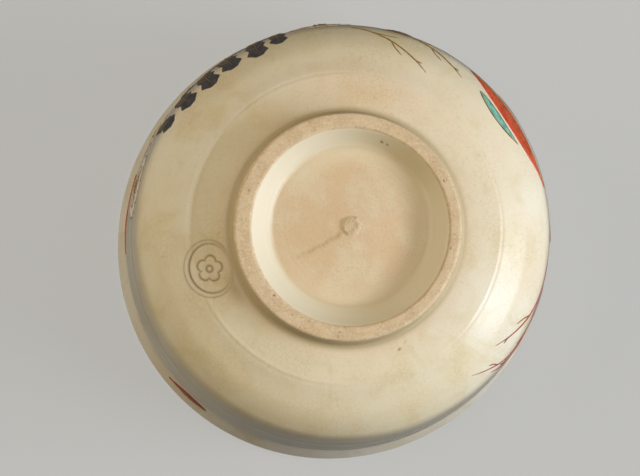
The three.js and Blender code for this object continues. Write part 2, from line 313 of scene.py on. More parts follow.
def glazeMaterial():
    material = newMaterial("cream crackled glaze")
    where = here()
    clouds, tint = noise(where, glaze["cloudSize"], 4), noise(where, glaze["tintSize"], 3, 0.55, 0.6)
    freckles = noise(where, glaze["freckleSize"], 3, 0.6)
    specks, blushSpecks = noise(where, glaze["speckSize"], 2, 0.7), noise(where, glaze["blushSpeckSize"], 2)
    colour = mixed(soft(clouds, 0.36, 0.66), glaze["cream"], glaze["warm"])
    colour = mixed(soft(tint, 0.48, 0.72) * 0.45, colour, glaze["olive"])
    # The olive mark: olive glaze in the trimmed zone, strongest towards azimuth 190, and patches of painted
    # shade on the wall
    colour = mixed(mark("olive") * (0.3 + 0.9 * tint), colour, glaze["olive"])
    colour = mixed(soft(freckles, 0.46, 0.72) * 0.45, colour, glaze["warm"])
    colour = mixed(soft(specks, 0.57, 0.72) * 0.32, colour, glaze["speck"])
    colour = mixed(mark("blush") * (0.45 + 0.7 * tint), colour, glaze["blush"])
    colour = mixed(mark("blush") * soft(blushSpecks, 0.56, 0.7) * 0.5, colour, glaze["speck"])
    lines = crackle(where, glaze["crackleSize"], glaze["crackleWidth"])
    crackled = soft(noise(where, glaze["crackledAreas"], 2), 0.42, 0.66)
    colour = mixed(lines * glaze["crackleShow"] * crackled, colour, glaze["line"])
    colour = mixed(mark("pool"), colour, glaze["pooled"])
    # On the foot's side the glaze turns matt, and its colour is darkened there as painted shade
    colour = mixed(mark("dryAndShaded") * (0.75 + 0.4 * freckles), colour, glaze["footSide"])
    relief = bump(noise(where, glaze["skinSize"], 2) - 0.35 * lines, 0.5, glaze["skinHeight"])
    setFinish(colour, glaze["roughness"] + 0.06 * freckles + 0.55 * mark("dryAndShaded"), relief,
              Coat_Weight=glaze["coatWeight"] - glaze["coatWeight"] * mark("dryAndShaded"),
              Coat_Roughness=glaze["coatRoughness"])
    return material


# Bare clay of the land and the boss
clay = {
    "base": paint(217, 190, 152), "dark": paint(199, 168, 128), "pale": paint(232, 211, 178),
    "fleck": paint(168, 128, 84), "speck": paint(84, 60, 40), "roughness": 0.8,
}


def bareClayMaterial():
    material = newMaterial("bare turned clay")
    where = here()
    clouds, grit, flecks = noise(where, 4, 4, 0.65), noise(where, 0.7, 4, 0.8), noise(where, 1.1, 3, 0.8)
    colour = mixed(soft(clouds, 0.42, 0.6) * 0.6, clay["base"], clay["dark"])
    colour = mixed(soft(grit, 0.5, 0.64) * 0.7, colour, clay["pale"])
    colour = mixed(soft(flecks, 0.58, 0.7) * 0.65, colour, clay["fleck"])
    colour = mixed(mark("pit"), colour, clay["speck"])
    setFinish(colour, clay["roughness"], bump(grit + 0.6 * clouds, 0.8, 0.07))
    return material


# Thin glaze in the well: cream on the slope, pinkish and half matt on the floor, with olive painted shade in
# its corner and on part of its slope
wellFinish = {
    "floor": paint(221, 190, 152), "slope": paint(230, 217, 189), "olive": paint(200, 180, 136),
    "ridge": paint(180, 146, 100), "roughness": 0.36,
}


def wellMaterial():
    material = newMaterial("thin well glaze")
    where = here()
    clouds, grain, motes = noise(where, 8, 4, 0.6), noise(where, 0.6, 3, 0.65), noise(where, 0.5, 2, 0.7)
    colour = mixed(mark("floor"), wellFinish["slope"], wellFinish["floor"])
    colour = mixed(mark("floor") * soft(clouds, 0.42, 0.66) * 0.45, colour, wellFinish["slope"])
    colour = mixed(mark("floor") * soft(motes, 0.5, 0.66) * 0.5, colour, wellFinish["olive"])
    # Olive painted shade in the floor's corner, where glaze also pools, and on the slope towards azimuth -48
    colour = mixed(mark("corner") * (0.5 + 0.6 * clouds), colour, wellFinish["olive"])
    colour = mixed(mark("ridge") * (0.35 + 0.6 * clouds), colour, wellFinish["ridge"])
    colour = mixed(mark("pit"), colour, clay["speck"])
    setFinish(colour, wellFinish["roughness"] + 0.18 * grain, bump(grain + 0.5 * motes, 0.8, 0.06))
    return material


# Enamels: base colour, shaded colour of its thick strokes, and gloss
enamels = {
    "white": {"colour": paint(240, 236, 226), "shade": paint(220, 214, 200), "roughness": 0.24},
    "black": {"colour": paint(44, 41, 41), "shade": paint(70, 65, 63), "roughness": 0.3},
    "orange": {"colour": paint(206, 78, 36), "shade": paint(172, 52, 26), "roughness": 0.22},
    "red": {"colour": paint(148, 46, 32), "shade": paint(108, 30, 22), "roughness": 0.26},
    "turquoise": {"colour": paint(128, 194, 174), "shade": paint(88, 156, 142), "roughness": 0.16},
    "gold": {"colour": paint(168, 130, 64), "shade": paint(118, 88, 40), "roughness": 0.34},
}


def enamelMaterial(name):
    finish = enamels[name]
    material = newMaterial(f"{name} enamel")
    where = here()
    strokes = noise(where, 1.6, 3, 0.6, 0.4)
    colour = mixed(soft(strokes, 0.38, 0.7), finish["colour"], finish["shade"])
    setFinish(colour, finish["roughness"] + 0.14 * strokes, bump(strokes, 0.5, 0.03),
              Metallic=0.5 if name == "gold" else 0.0)
    return material


creamGlaze = glazeMaterial()
bareClay = bareClayMaterial()
wellGlaze = wellMaterial()
enamelPaints = {name: enamelMaterial(name) for name in enamels}
print("materials made:", len(bpy.data.materials))


# Marks of making and painted shade on the glaze, by azimuth in degrees and millimetres along the wall. A
# pinhole has its size after that, and a stain, a blush or a patch of painted shade its width, height and
# strength
makerMarks = {
    "pinholes": [(66, 3.4, 0.3), (63, 2.4, 0.24), (48, 12.5, 0.22), (28, 30, 0.2), (112, 24, 0.2),
                 (300, 14, 0.2)],
    "stains": [(151.5, 2.2, 3.6, 1.6, 0.3)],
    "blushes": [(277, 6, 20, 8, 0.75)],
    "toolRing": {"along": 9.6, "azimuth": 165, "spread": 80, "height": 0.15, "width": 0.6},
    "trimStep": {"along": 9.8, "depth": 0.14, "width": 1.1},
    "trimmed": {"inside": 1.6, "outside": 9.4, "olive": 0.8, "azimuth": 190, "spread": 75},
    "shadePatches": [(135, 26, 46, 24, 1.0), (266, 25, 44, 15, 0.9), (90, 27, 44, 17, 0.95)],
    "ringHeight": 0.011, "bandHeight": 0.03, "unevenness": 0.05, "insideCoat": 0.2, "insideShare": 1.6,
}


def angleFrom(azimuth, atAzimuth):  # signed angle round the bowl from a place given in degrees
    return np.mod(azimuth - atAzimuth * degree + math.pi, fullTurn) - math.pi


def towards(azimuth, atAzimuth, spread):  # 1 towards a place, less to both its sides
    return np.exp(-(angleFrom(azimuth, atAzimuth) / spread) ** 2)


def blot(azimuth, along, atAzimuth, atAlong, wide, tall):  # a soft patch on the wall
    radius = readSection(section, float(atAlong))[0]
    return np.exp(-(angleFrom(azimuth, atAzimuth) * radius / wide) ** 2 - ((along - atAlong) / tall) ** 2)


def blots(azimuth, along, patches):
    full = 0.0
    for *place, strength in patches:
        full = np.maximum(full, strength * blot(azimuth, along, *place))
    return full


def wallRelief(azimuth, along):  # turning marks and unevenness under the glaze
    m, crown, tool, cut = makerMarks, section["crown"], makerMarks["toolRing"], makerMarks["trimStep"]
    outside = smoothstep(along, 0.5, 6) * (1 - smoothstep(along, crown - 9, crown - 3.6))
    inside = smoothstep(along, crown + 0.5, crown + 9)
    rings = m["ringHeight"] * wander(0 * azimuth, along, 5, 14, 0, 0.45)
    rings = rings + m["bandHeight"] * wander(0 * azimuth, along, 6, 6, 0, 0.12)
    uneven = m["unevenness"] * wander(azimuth, along, 7, 24, 9, 0.05)
    around = towards(azimuth, tool["azimuth"], tool["spread"] * degree)
    ridge = tool["height"] * np.exp(-((along - tool["along"]) / tool["width"]) ** 2) * (0.25 + around)
    step = cut["depth"] * smoothstep(along, cut["along"], cut["along"] + cut["width"])
    step = step * (1 - smoothstep(along, cut["along"] + 4, cut["along"] + 12))
    turned = (rings + uneven) * np.maximum(outside, m["insideShare"] * inside)
    return turned + ridge + step + m["insideCoat"] * inside


# Potter's seal: an oval stamp on the hip, pressed deeper on its outer side, with a plain blossom inside
seal = {
    "azimuth": 163.4, "along": 6.6, "wide": 7.25, "tall": 6.4,
    "groove": {"shift": 0.5, "inset": 1.0, "width": 0.28}, "grooveDepth": 0.34, "edgeDepth": 0.09,
    "blossom": 3.3, "petals": 5, "blossomTurn": 0.35, "eye": 0.8, "blossomDepth": 0.26, "padDepth": 0.06,
    "lineWidth": 0.26,
}


def ovalInset(x, y, wide, tall):  # distance inside an oval's edge, in millimetres
    turn = np.arctan2(y / tall, x / wide)
    scale = np.hypot(x / wide, y / tall)
    return (1 - scale) * np.hypot(wide * np.cos(turn), tall * np.sin(turn))


def sealRelief(azimuth, along):  # how deep the stamp went, and where the glaze pooled in it
    x = angleFrom(azimuth, seal["azimuth"]) * readSection(section, along)[0]
    y = along - seal["along"]
    outer = ovalInset(x, y, seal["wide"], seal["tall"])
    g = seal["groove"]
    inner = ovalInset(x, y + g["shift"], seal["wide"] - g["inset"], seal["tall"] - g["inset"])
    deeper = 0.62 + 0.38 * np.clip(y / seal["tall"], -1, 1)
    groove = np.exp(-(inner / g["width"]) ** 2) * deeper
    edge = np.exp(-(outer / seal["lineWidth"]) ** 2)
    pad = smoothstep(inner, -0.1, 0.7)
    distance, turn = np.hypot(x, y + g["shift"]), np.arctan2(y + g["shift"], x)
    lobes = np.abs(np.cos(seal["petals"] / 2 * (turn + seal["blossomTurn"]))) ** 0.6
    petal = np.exp(-((distance - seal["blossom"] * (0.66 + 0.34 * lobes)) / seal["lineWidth"]) ** 2)
    eye = np.exp(-((distance - seal["eye"]) / seal["lineWidth"]) ** 2)
    drawing = np.maximum(petal, eye)
    depth = seal["grooveDepth"] * groove + seal["edgeDepth"] * edge + seal["padDepth"] * pad
    depth = depth + seal["blossomDepth"] * drawing * pad
    return depth, np.clip(0.95 * groove + 0.4 * edge + 0.7 * drawing * pad, 0, 1)


# The foot's side mark makes the glaze matt there and darkens its colour as painted shade
def paintedMarks(azimuth, along, pooled):  # what the glaze's colours follow; the foot's side is below 0
    trimmed = makerMarks["trimmed"]
    pool = np.maximum(pooled, 0.1 * np.exp(-((along - 0.2) / 0.6) ** 2))
    for atAzimuth, atAlong, size in makerMarks["pinholes"]:
        pool = np.maximum(pool, blot(azimuth, along, atAzimuth, atAlong, size, size))
    pool = np.maximum(pool, blots(azimuth, along, makerMarks["stains"]))
    zone = trimmed["olive"] * smoothstep(along, 0.5, trimmed["inside"]) * (
        1 - smoothstep(along, trimmed["outside"], trimmed["outside"] + 0.8))
    leftward = towards(azimuth, trimmed["azimuth"], trimmed["spread"] * degree)
    blush = blots(azimuth, along, makerMarks["blushes"])
    # Besides the trimmed zone, the olive mark carries patches of painted shade on the wall
    return {"pool": pool, "blush": np.maximum(blush, 0.4 * np.exp(-((along - 0.6) / 2.4) ** 2)),
            "olive": np.maximum(zone * (0.12 + 0.88 * leftward), blots(azimuth, along, makerMarks["shadePatches"])),
            "dryAndShaded": 1 - smoothstep(along, -0.2, 1.6)}


# The glaze, one coat from the foot's side over the lip to the floor inside
coat = {
    "back": -0.42, "edge": 0.3, "step": 0.8, "fine": 0.24, "insideStep": 1.3, "poolStep": 0.5,
    "backStep": 4.0, "turn": 1.25, "sealTurn": 0.36, "sealReach": 9.5, "sealFromAxis": 38,
}


def glazeCoat():
    crown, end = section["crown"], section["end"]
    reach = coat["sealReach"] / coat["sealFromAxis"] / degree
    sealColumns = (seal["azimuth"] - reach, seal["azimuth"] + reach)
    sealRows = (seal["along"] - seal["tall"] - 0.6, seal["along"] + seal["tall"] + 0.6)
    columns = spaced(0, 360, coat["turn"], [sealColumns], coat["sealTurn"])[:-1] * degree
    fineRows = [(section["start"], 1.0), sealRows, (crown - 3, crown + 2.2)]
    rows = np.concatenate([
        spaced(section["start"], crown + 2.4, coat["step"], fineRows, coat["fine"])[:-1],
        spaced(crown + 2.4, end, coat["insideStep"], [(end - 20, end - 12)], coat["poolStep"])])
    backRows = spaced(section["start"], section["end"], coat["backStep"], [(section["start"], 2)], 0.6)[::-1]
    azimuth, along = np.meshgrid(columns, rows, indexing="ij")
    depth, pooled = sealRelief(azimuth, along)
    edge = coat["edge"] * (1 - smoothstep(along, section["start"], section["start"] + 0.7))
    front = onSection(section, azimuth, along, wallRelief(azimuth, along) - depth - edge)
    backAzimuth, backAlong = np.meshgrid(columns, backRows, indexing="ij")
    back = onSection(section, backAzimuth, backAlong, coat["back"])
    points = np.concatenate([front, back], axis=1)
    across = points.shape[1]
    j = np.arange(len(columns)) * across
    after = np.roll(j, -1)
    closing = np.stack([j + across - 1, after + across - 1, after, j], axis=-1)
    blank = np.zeros(backAlong.shape)
    marks = {name: np.concatenate([values, blank], axis=1)
             for name, values in paintedMarks(azimuth, along, pooled).items()}
    faces = np.vstack([gridFaces(len(columns), across), closing])
    return makePiece("glaze_coat", points, faces, creamGlaze, ("outer_glaze", "inner_glaze"),
                     marks, 60)


glazeCoat()
print("glaze coat made")


# Foot: the well was turned a little off the foot's centre, and its floor a little further
foot = {
    "shift": (0.65, 0.05), "shiftEases": (24.8, 27.2),
    "floorShift": (0.45, -0.45), "floorShiftEases": (20, 24), "inset": 0.2, "openedBy": 0.45,
    "columns": 420, "step": 0.17, "turningDepth": 0.03, "wear": 0.05, "pitDepth": 0.28,
    "pits": [(-26, 26, 0.26), (-15, 27.1, 0.16), (138, 25.2, 0.2), (200, 26.2, 0.16), (250, 25.4, 0.14),
             (95, 26, 0.14), (12, 25.2, 0.14)],
}


def offCentre(points):  # everything inside the land follows the well's own centre
    radius = np.hypot(points[..., 0], points[..., 1])
    share = 1 - smoothstep(radius, *foot["shiftEases"])
    floorShare = 1 - smoothstep(radius, *foot["floorShiftEases"])
    for axis in (0, 1):
        points[..., axis] += foot["shift"][axis] * share + foot["floorShift"][axis] * floorShare
    return points


def turnedPiece(name, line, columns, step, relief, marks, material, replaced):
    ring = measured(line)
    rows = np.linspace(ring["start"], ring["end"], int((ring["end"] - ring["start"]) / step) + 2)
    azimuth, along = np.meshgrid(np.linspace(0, fullTurn, columns, endpoint=False), rows, indexing="ij")
    radius, height, outward, upward = readSection(ring, along)
    lift = relief(azimuth, radius, height)
    points = formByHand(np.maximum(radius + outward * lift, 0), azimuth, height + upward * lift)
    return makePiece(name, offCentre(points), gridFaces(columns, len(rows)), material, replaced,
                     marks(azimuth, radius, height), 60)


def pitDepth(azimuth, radius, pits):
    return sum(np.exp(-(angleFrom(azimuth, place) * at / size) ** 2 - ((radius - at) / size) ** 2)
               for place, at, size in pits)


def footRing():
    b = bowl
    inner, outer, bevel = b["footInner"] + foot["openedBy"], b["footRadius"] - foot["inset"], b["landBevel"]
    land = spline([
        (inner - 0.3, bevel), (inner - 0.02, 0.16), (inner + 0.35, 0.015), (inner + 0.8, 0.01),
        (outer - 1.2, 0.01), (outer - 0.7, 0.025), (outer - 0.22, 0.2), (outer - 0.02, 0.62), (outer, 1.6),
    ])
    hidden = np.array([(outer, 6.2), (inner - 2.4, 6.2), (inner + 0.5, 1.9), (inner - 0.3, bevel)])

    def relief(azimuth, radius, height):
        turning = foot["turningDepth"] * np.abs(wander(azimuth, radius, 21, 18, 2, 1.5))
        worn = foot["wear"] * np.clip(wander(azimuth, radius, 22, 16, 14, 0.3), 0, 1)
        shown = 1 - smoothstep(height, 0.4, 1.0)
        return -(turning + worn + foot["pitDepth"] * pitDepth(azimuth, radius, foot["pits"])) * shown

    def marks(azimuth, radius, height):
        return {"pit": np.clip(1.3 * pitDepth(azimuth, radius, foot["pits"]), 0, 1)}

    return turnedPiece("turned_foot_ring", np.vstack([land, hidden]), foot["columns"], foot["step"], relief,
                       marks, bareClay, ("foot_ring",))


# Well: slope, tight corner, a floor that rises a little to the boss, and a low ridge beside it
well = {
    "dome": 1.7, "ridgeAzimuth": 150, "ridgeLength": 18, "ridgeWidth": 0.62, "ridgeHeight": 0.2,
    "ringHeight": 0.01, "unevenness": 0.04, "columns": 360, "step": 0.22,
    "pitDepth": 0.3, "pits": [(-69.7, 22.6, 0.3), (-65.7, 22.5, 0.22)],
    "pinkTowards": 170, "thinTowards": 8, "shadedTowards": -48,
}


def ridgeShare(azimuth, radius):
    off = angleFrom(azimuth, well["ridgeAzimuth"])
    along = radius * np.cos(off) / well["ridgeLength"]
    side = radius * np.sin(off) + 0.45 * np.sin(4 * along) + 0.12 * np.sin(31 * along)
    broken = np.clip(0.8 + 0.35 * wander(0 * azimuth, radius, 33, 20, 0, 1.3), 0.35, 1.3)
    ridge = np.exp(-(side / (well["ridgeWidth"] * (1.15 - 0.6 * along))) ** 2) * broken
    return ridge * smoothstep(along, 0.05, 0.2) * (1 - smoothstep(along, 0.5, 1.05))


def wellCoat():
    inner, floor, edge = bowl["footInner"] + foot["openedBy"], bowl["wellDepth"], bowl["wellFloor"]
    bevel, dome = bowl["landBevel"], well["dome"]
    face = spline([
        (inner - 0.2, bevel + 0.04), (inner - 0.6, bevel + 0.5), (edge + 3.0, floor - 3.85),
        (edge + 1.4, floor - 1.55), (edge + 0.7, floor - 0.72), (edge, floor - 0.26),
        (edge - 0.9, floor - 0.05), (edge - 4, floor - dome * 0.14), (edge * 0.55, floor - dome * 0.5),
        (4.2, floor - dome * 0.88), (1.2, floor - dome),
    ])
    back = np.array([(1.2, floor + 0.3), (edge + 1, floor + 0.3), (edge + 2.2, floor - 1.2),
                     (inner + 0.1, bevel + 0.4), (inner - 0.2, bevel + 0.04)])

    def relief(azimuth, radius, height):
        front = 1 - smoothstep(height, floor + 0.05, floor + 0.15)
        rings = well["ringHeight"] * wander(0 * azimuth, radius, 31, 16, 0, 0.9)
        uneven = well["unevenness"] * wander(azimuth, radius, 32, 20, 6, 0.08)
        ridge = well["ridgeHeight"] * ridgeShare(azimuth, radius) * smoothstep(height, floor - 1, floor - 0.4)
        pits = well["pitDepth"] * pitDepth(azimuth, radius, well["pits"])
        return -(rings + uneven + ridge + pits) * front * smoothstep(inner - radius, 0.3, 1.2)

    def marks(azimuth, radius, height):
        wavy = radius + 1.2 * wander(azimuth, radius, 34, 12, 4, 0.05)
        paler = 0.6 * smoothstep(wavy, edge - 7, edge - 0.5)
        paler = paler * (1 - 0.9 * towards(azimuth, well["pinkTowards"], 1.1))
        thin = towards(azimuth, well["thinTowards"], 0.5) * (1 - smoothstep(radius, edge + 3.6, edge + 4.4))
        floorShare = np.maximum((1 - paler) * (1 - smoothstep(radius, edge, edge + 0.6)), 0.2 * thin)
        # Painted shade: the slope towards azimuth -48, and the floor's corner, where glaze also pools
        shaded = 0.75 * towards(azimuth, well["shadedTowards"], 0.45) * smoothstep(radius, edge - 2, edge + 1)
        corner = 0.3 * np.exp(-((radius - edge) / 1.1) ** 2)
        return {"floor": floorShare, "corner": np.maximum(corner, shaded),
                "ridge": ridgeShare(azimuth, radius),
                "pit": np.clip(1.3 * pitDepth(azimuth, radius, well["pits"]), 0, 1)}

    return turnedPiece("well_coat", np.vstack([face, back]), well["columns"], well["step"], relief, marks,
                       wellGlaze, ("well_glaze",))


# Boss: a small rough mound that the turning tool left in the middle
boss = {"radius": 2.3, "height": 0.6, "rough": 0.06, "columns": 72, "step": 0.12}


def footBoss():
    floor, r, h = bowl["wellDepth"] - well["dome"], boss["radius"], boss["height"]
    line = spline([
        (0, floor - h * 0.9), (r * 0.32, floor - h * 0.92), (r * 0.72, floor - h), (r * 0.9, floor - h * 0.7),
        (r * 1.02, floor - 0.1), (r * 1.12, floor + 0.15), (0, floor + 0.2)])

    def relief(azimuth, radius, height):
        return boss["rough"] * wander(azimuth, radius, 41, 30, 16, 1.1) * smoothstep(radius, 0.05, 0.9) * (
            1 - smoothstep(height, floor - 0.1, floor + 0.1))

    def marks(azimuth, radius, height):
        return {"pit": 0.14 * np.clip(wander(azimuth, radius, 43, 12, 5, 0.6), 0, 1)}

    return turnedPiece("turned_boss", line, boss["columns"], boss["step"], relief, marks,
                       bareClay, ("foot_boss",))


footRing()
wellCoat()
footBoss()
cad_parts["clay_bowl"].material_slots[0].material = bareClay
print("foot made")


# Enamel work: every stroke is drawn flat, then laid on the wall and raised over the glaze
enamelWork = {"sunk": -0.14, "rise": 0.24, "dotRise": 0.3}


def listed(names, *rows):  # a dictionary for each row of values
    return [dict(zip(names.split(), row)) for row in rows]


def laidOnWall(anchor, x, y, lift):  # x runs round the bowl and y up the wall from the anchor
    along = anchor["along"] + y
    azimuth = anchor["azimuth"] * degree + x / readSection(section, along)[0]
    return onSection(section, azimuth, along, lift + wallRelief(azimuth, along))


# A closed patch: share is 0 round its edge and 1 where it is fullest
def raised(anchor, x, y, share, rise, sunk):
    front = laidOnWall(anchor, x, y, sunk + (rise - sunk) * share)
    back = laidOnWall(anchor, x, y, np.full(x.shape, sunk))
    faces = gridFaces(*x.shape, closed=False)
    points = np.concatenate([front.reshape(-1, 3), back.reshape(-1, 3)])
    return points, np.vstack([faces, faces[:, ::-1] + x.size])


def joined(patches):
    offsets = np.cumsum([0] + [len(points) for points, _ in patches[:-1]])
    return np.vstack([p for p, _ in patches]), np.vstack([f + o for (_, f), o in zip(patches, offsets)])


def turnedBy(x, y, lean):  # leans a drawing by an angle, measured from up towards growing azimuth
    c, s = math.cos(lean * degree), math.sin(lean * degree)
    return x * c + y * s, y * c - x * s


def pillow(s, t, sidePower, endPower):  # fullest along the middle of a stroke, nothing round its edge
    full = np.sqrt(np.clip(1 - s ** sidePower, 0, 1)) * np.clip(1 - (2 * t - 1) ** endPower, 0, 1) ** 0.5
    full[:, [0, -1]] = full[[0, -1], :] = 0
    return full


def blade(anchor, length, halfWidth, lean, rows, bend=0.0, across=11):
    ease = (1 - np.cos(np.linspace(0, math.pi, rows))) / 2
    t, s = np.meshgrid(ease, np.linspace(-1, 1, across), indexing="ij")
    x, y = turnedBy(s * halfWidth(t) + bend * 4 * t * (1 - t), t * length, lean)
    return raised(anchor, x, y, pillow(s, t, 4, 10), enamelWork["rise"], enamelWork["sunk"])


# A brush line along a flat path, with its tips as shares of the width
def stroke(anchor, path, width, base, steps, rise, tips=(0.3, 0.3)):
    line = spline(path, steps)
    run = np.gradient(line, axis=0)
    run /= np.linalg.norm(run, axis=1)[:, None]
    t = np.linspace(0, 1, len(line))
    thick = width / 2 * (tips[0] + (1 - tips[0]) * smoothstep(t, 0, 0.25)) * (
        tips[1] + (1 - tips[1]) * (1 - smoothstep(t, 0.7, 1)))
    s = np.linspace(-1, 1, 7)[None, :]
    x = line[:, :1] - run[:, 1:] * thick[:, None] * s
    y = line[:, 1:] + run[:, :1] * thick[:, None] * s
    return raised(anchor, x, y, pillow(s, t[:, None], 2, 16), base + rise, base + enamelWork["sunk"])


def dot(anchor, x, y, radius, base):
    turn, share = np.meshgrid(np.linspace(0, fullTurn, 13), np.array([1, 0.85, 0.5, 0]), indexing="ij")
    return raised(anchor, x + radius * share * np.cos(turn), y + radius * share * np.sin(turn),
                  np.sqrt(1 - share ** 2), base + enamelWork["dotRise"], base + enamelWork["sunk"])


def enamelPiece(name, patches, colour, replaced=()):
    points, faces = joined(patches)
    return makePiece(name, points, faces, enamelPaints[colour], replaced, {}, 70)


# Chrysanthemum heads: two rings of petals with golden outlines round a dotted eye
flowers = listed(
    "azimuth along radius petals",
    (193, 42, 9, 14), (209, 60, 7.5, 13), (264, 37, 8.5, 14), (278, 60, 7.5, 13))
petalForm = {
    "inner": 0.66, "root": 0.16, "fullest": 0.68, "line": 0.19, "lineRise": 0.07,
    "eye": 0.75, "dots": 9, "dotRing": 1.5, "dot": 0.42,
}


def petalHalf(width):
    def half(t):
        fullest = petalForm["fullest"]
        grow = 0.42 + 0.58 * smoothstep(t, 0, fullest)
        tip = np.sqrt(np.clip(1 - (np.clip(t - fullest, 0, 1) / (1 - fullest)) ** 2, 0, 1))
        return width / 2 * grow * tip * np.clip(t / 0.04, 0, 1) ** 0.5
    return half


def petalOutline(length, width, lean, start):
    t = np.concatenate([np.linspace(0.1, 0.9, 6), [0.97, 1.0]])
    side = petalHalf(width)(t)
    path = np.concatenate([np.stack([-side, t * length], 1), np.stack([side, t * length], 1)[-2::-1]])
    x, y = turnedBy(path[:, 0], path[:, 1] + start, lean)
    return np.stack([x, y], axis=1)


def flower(number, spec):
    dice = np.random.default_rng(100 + number)
    petals, lines, count = [], [], spec["petals"]
    rings = [(1.0, 0.0, enamelWork["rise"], 0.03), (petalForm["inner"], 0.5, enamelWork["rise"] + 0.1, 0.2)]
    for reach, phase, rise, lineBase in rings:
        for i in range(count):
            lean = 360 * (i + phase) / count + dice.uniform(-3, 3)
            start = petalForm["root"] * spec["radius"]
            length = spec["radius"] * reach * dice.uniform(0.95, 1.0) - start
            width = fullTurn * spec["radius"] * reach / count * 0.98
            startX, startY = turnedBy(0.0, start, lean)
            t, s = np.meshgrid(np.linspace(0, 1, 16), np.linspace(-1, 1, 7), indexing="ij")
            x, y = turnedBy(s * petalHalf(width)(t), t * length, lean)
            full = pillow(s, t, 4, 10) * (0.86 + 0.14 * np.abs(s)) * (0.8 + 0.2 * t)
            petals.append(raised(spec, x + startX, y + startY, full, rise, enamelWork["sunk"]))
            lines.append(stroke(spec, petalOutline(length, width, lean, start), petalForm["line"],
                                lineBase, 4, petalForm["lineRise"], (0.9, 0.9)))
    eye = [dot(spec, 0, 0, petalForm["eye"], enamelWork["rise"] + 0.05)]
    for i in range(petalForm["dots"]):
        turn = fullTurn * i / petalForm["dots"] + 0.2
        x, y = petalForm["dotRing"] * math.cos(turn), petalForm["dotRing"] * math.sin(turn)
        eye.append(dot(spec, x, y, petalForm["dot"], enamelWork["rise"]))
    enamelPiece(f"white_petals_{number}", petals, "white", (f"white_flower_{number}",))
    enamelPiece(f"gold_petal_lines_{number}", lines + eye, "gold", (f"flower_eye_{number}",))


# Dark leaves with golden veins
darkLeaves = listed(
    "azimuth along lean length width",
    (212, 27.5, -8, 17, 5.6), (220, 25.5, -4, 17, 5.8), (228, 24.5, 0, 18, 5.8), (236, 25, -3, 17, 5.8),
    (244, 24, 3, 17, 5.6), (251, 26, 2, 14, 4.6), (224, 47, -3, 15, 5.4), (232, 45.5, 1, 17, 5.6),
    (240, 45, 5, 16, 5.4), (248, 46, 10, 14, 4.8), (284, 32, 18, 15, 4.8))
leafForm = {
    "spread": 0.6, "blunt": 0.5, "lobes": 4.5, "lobeDepth": 0.34, "below": 2.4,
    "veins": 4, "veinWidth": 0.2, "veinRise": 0.11, "midWidth": 0.3, "midRise": 0.12,
}


def lensHalf(width, fullest):
    power = math.log(0.5) / math.log(fullest)
    return lambda t: width / 2 * np.sin(math.pi * np.clip(t, 0, 1) ** power)


def leafHalf(width):
    def half(t):
        zigzag = np.abs(2 * np.mod(leafForm["lobes"] * t, 1) - 1)
        outline = np.minimum(1, leafForm["blunt"] + 5 * t) * np.clip(1 - t ** 3, 0, 1) ** 0.7
        return width * leafForm["spread"] * outline * (1 - leafForm["lobeDepth"] * zigzag)
    return half


def leaf(number, spec):
    below = leafForm["below"]
    spec = dict(spec, along=spec["along"] - below)
    length, width, lean = spec["length"] + below, spec["width"], spec["lean"]
    body = blade(spec, length, leafHalf(width), lean, 60)
    top = enamelWork["rise"]
    middle = np.stack(turnedBy(np.zeros(6), np.linspace(0.06, 0.9, 6) * length, lean), axis=1)
    veins = [stroke(spec, middle, leafForm["midWidth"], top - 0.04, 8, leafForm["midRise"])]
    for i in range(leafForm["veins"]):
        t = 0.2 + 0.16 * i
        for side in (-1, 1):
            reach = leafHalf(width)(np.array(t + 0.1)) * 0.78
            path = np.array([(0, t), (side * reach * 0.55, t + 0.05), (side * reach, t + 0.12)])
            x, y = turnedBy(path[:, 0], path[:, 1] * length, lean)
            veins.append(stroke(spec, np.stack([x, y], 1), leafForm["veinWidth"], top - 0.06, 5,
                                leafForm["veinRise"]))
    enamelPiece(f"dark_leaf_enamel_{number}", [body], "black", (f"dark_leaf_{number}",))
    enamelPiece(f"gold_veins_{number}", veins, "gold")


# Long blades, orange, red and turquoise; the turquoise ones have golden outlines
longBlades = listed(
    "colour azimuth along lean length width bend",
    ("orange", 308, 28.5, 90, 37, 6, 3.2), ("orange", 2, 44, -48, 28, 4.4, 4),
    ("orange", 176, 74, 85, 23, 4.4, 1), ("red", 127, 76, 86, 14, 3.2, 0.5), ("red", 318, 40, 30, 24, 4.2, 2),
    ("turquoise", 314, 22.6, 92, 17, 2.2, 1.6), ("turquoise", 298, 46, 50, 22, 3.6, -2),
    ("turquoise", 350, 66, 70, 18, 3.4, 1))
bladeForm = {"fullest": 0.4, "line": 0.36, "lineRise": 0.14}


def longBlade(number, spec):
    half = lensHalf(spec["width"], bladeForm["fullest"])
    body = blade(spec, spec["length"], half, spec["lean"], 64, spec["bend"], 13)
    enamelPiece(f"{spec['colour']}_blade_enamel_{number}", [body], spec["colour"],
                (f"{spec['colour']}_blade_{number}",))
    t = np.linspace(0, 1, 14)
    lines = []
    sides = (-1, 1) if spec["colour"] == "turquoise" else (0,)
    for side in sides:
        x = side * half(t) + spec["bend"] * 4 * t * (1 - t)
        path = np.stack(turnedBy(x, t * spec["length"], spec["lean"]), axis=1)
        base = 0.1 if side else enamelWork["rise"] - 0.05
        lines.append(stroke(spec, path, bladeForm["line"], base, 6, bladeForm["lineRise"]))
    enamelPiece(f"gold_blade_lines_{number}", lines, "gold")


